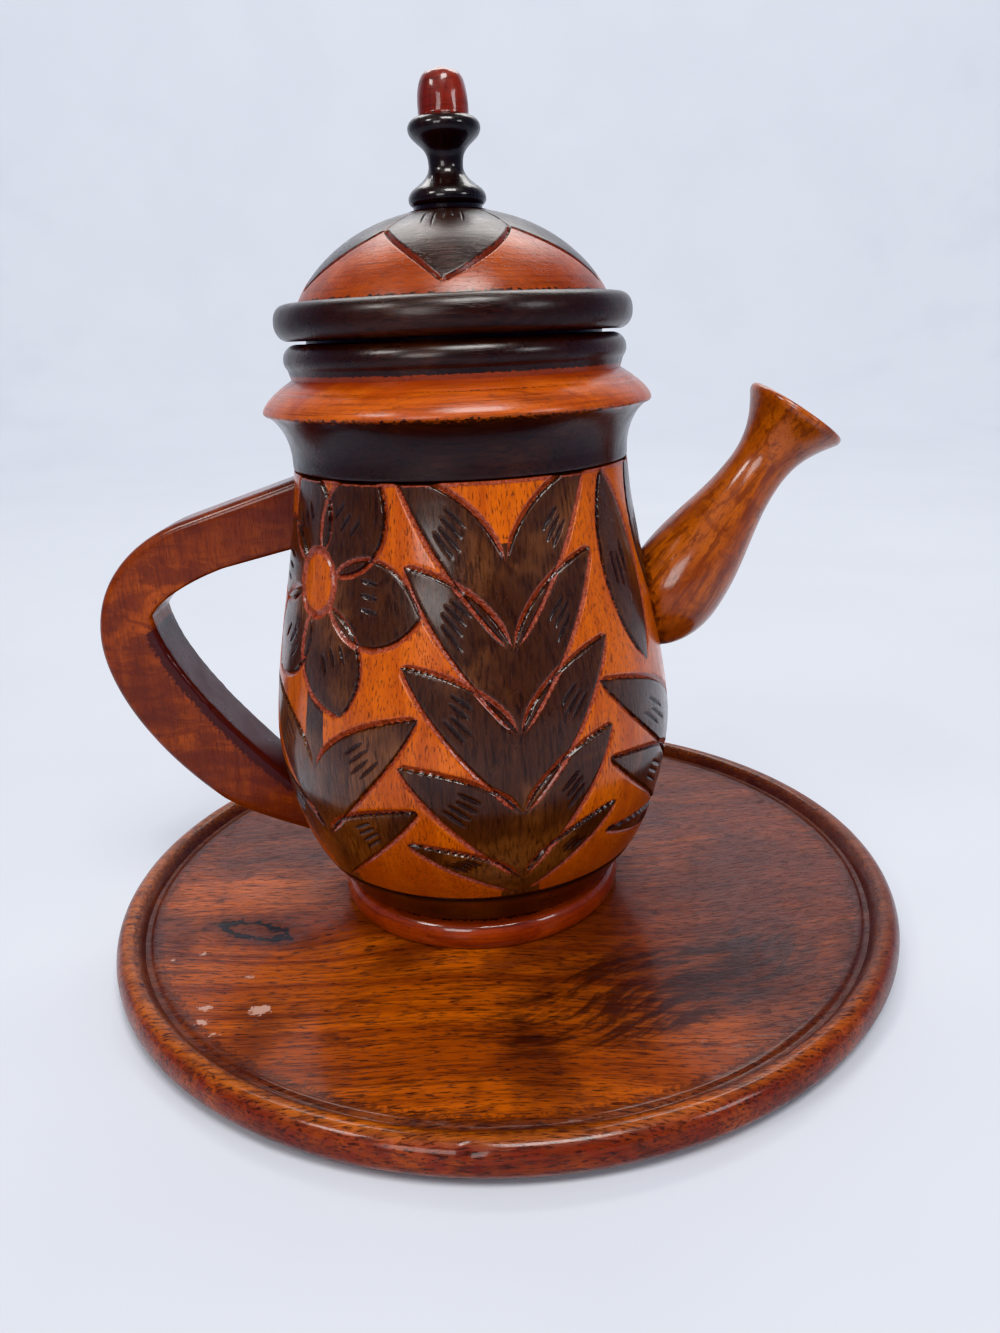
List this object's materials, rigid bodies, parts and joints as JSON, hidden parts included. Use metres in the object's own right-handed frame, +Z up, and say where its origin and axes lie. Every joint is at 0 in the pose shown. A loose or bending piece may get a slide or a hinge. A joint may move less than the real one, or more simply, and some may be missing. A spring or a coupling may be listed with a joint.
{
  "type": "wooden coffee pot on tray",
  "caption": "Turned wooden coffee pot with carved leaf pattern, domed lid with finial, flat-sawn handle and flared spout, standing on a round recessed wooden tray.",
  "frame": {"origin": "centre of the tray's flat underside, on the table", "axes": "+Z up, +X towards the spout, -X towards the handle"},
  "size_m": [0.26, 0.26, 0.26],
  "materials": {
    "tray_wood": "red-brown stain, semi-gloss lacquer",
    "foot_wood": "red-brown stain, gloss lacquer",
    "carved_wood": "orange ground with dark stained leaves, semi-gloss lacquer",
    "collar_wood": "dark stain with one orange band, gloss lacquer",
    "spout_wood": "golden brown stain, gloss lacquer",
    "handle_wood": "red-brown stain, gloss lacquer",
    "dowel_wood": "bare",
    "lid_wood": "orange-red ground, dark stained petals and rim, gloss lacquer",
    "finial_wood": "near-black stain with a red-brown tip, gloss lacquer"
  },
  "bodies": {
    "tray": {"tray": "tray_wood"},
    "pot": {"foot": "foot_wood", "body": "carved_wood", "collar": "collar_wood", "spout": "spout_wood", "handle": "handle_wood", "upper_dowel": "dowel_wood", "lower_dowel": "dowel_wood"},
    "lid": {"lid": "lid_wood", "finial": "finial_wood"}
  },
  "joints": [
    {"name": "pot_lift", "type": "slide", "parent": "tray", "child": "pot", "axis": [0, 0, 1], "range_m": [0, 0.06]},
    {"name": "lid_lift", "type": "slide", "parent": "pot", "child": "lid", "axis": [0, 0, 1], "range_m": [0, 0.05]}
  ]
}
